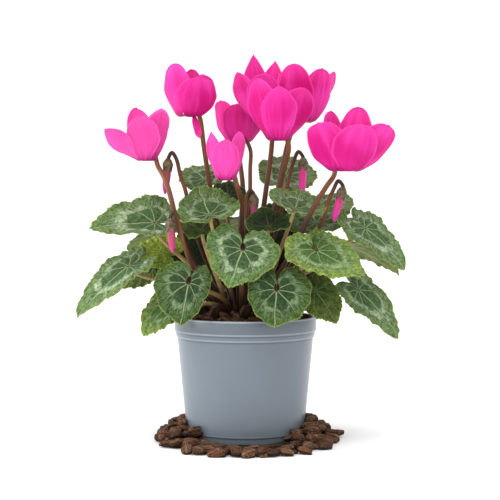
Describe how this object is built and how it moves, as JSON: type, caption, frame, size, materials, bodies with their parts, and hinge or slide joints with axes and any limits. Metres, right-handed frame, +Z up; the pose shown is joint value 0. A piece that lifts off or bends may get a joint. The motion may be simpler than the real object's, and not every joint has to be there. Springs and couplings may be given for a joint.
{
  "type": "potted cyclamen",
  "caption": "Cyclamen in a tapered nursery pot: toothed heart-shaped leaves, hooked stalks with upswept pink blooms and hanging buds, and a heap of bark chips round the pot's foot.",
  "frame": {"origin": "middle of the pot's underside on the surface it stands on, which is also the middle of the bounding box's bottom within a millimetre", "axes": "+Z up, -Y towards the viewer of the picture, +X to the viewer's right"},
  "size_m": [0.2748, 0.1779, 0.3243],
  "materials": {
    "pot_plastic": "moulded grey-blue plastic, slightly satin",
    "soil": "damp dark growing medium of composted bark and peat",
    "bark": "rough dry bark chips",
    "stalk": "reddish brown living stalks, slightly glossy",
    "leaf": "living leaf, dark green with a silver heart-shaped band and pale veins",
    "petal": "soft magenta-pink petals with fine lengthwise veins",
    "bud_petal": "rolled pink petals, paler towards the tip"
  },
  "bodies": {
    "root": {"pot": "pot_plastic", "soil": "soil", "bark_ring": "bark", "crown": "stalk", "leaf_01": "leaf", "leaf_02": "leaf", "leaf_03": "leaf", "leaf_04": "leaf", "leaf_05": "leaf", "leaf_06": "leaf", "leaf_07": "leaf", "leaf_08": "leaf", "leaf_09": "leaf", "leaf_10": "leaf", "leaf_11": "leaf", "leaf_12": "leaf", "leaf_13": "leaf", "leaf_14": "leaf", "leaf_15": "leaf", "leaf_16": "leaf", "leaf_17": "leaf", "leaf_18": "leaf", "leaf_19": "leaf", "leaf_20": "leaf", "leaf_21": "leaf", "leaf_22": "leaf", "leaf_23": "leaf", "leaf_24": "leaf", "leaf_25": "leaf", "leaf_26": "leaf", "leaf_27": "leaf", "leaf_28": "leaf", "leaf_29": "leaf", "bloom_1": "petal", "bloom_2": "petal", "bloom_3": "petal", "bloom_4": "petal", "bloom_5": "petal", "bloom_6": "petal", "bloom_7": "petal", "bloom_8": "petal", "bud_1": "bud_petal", "bud_2": "bud_petal", "bud_3": "bud_petal", "bud_4": "bud_petal", "bud_5": "bud_petal", "bud_6": "bud_petal"}
  },
  "joints": []
}
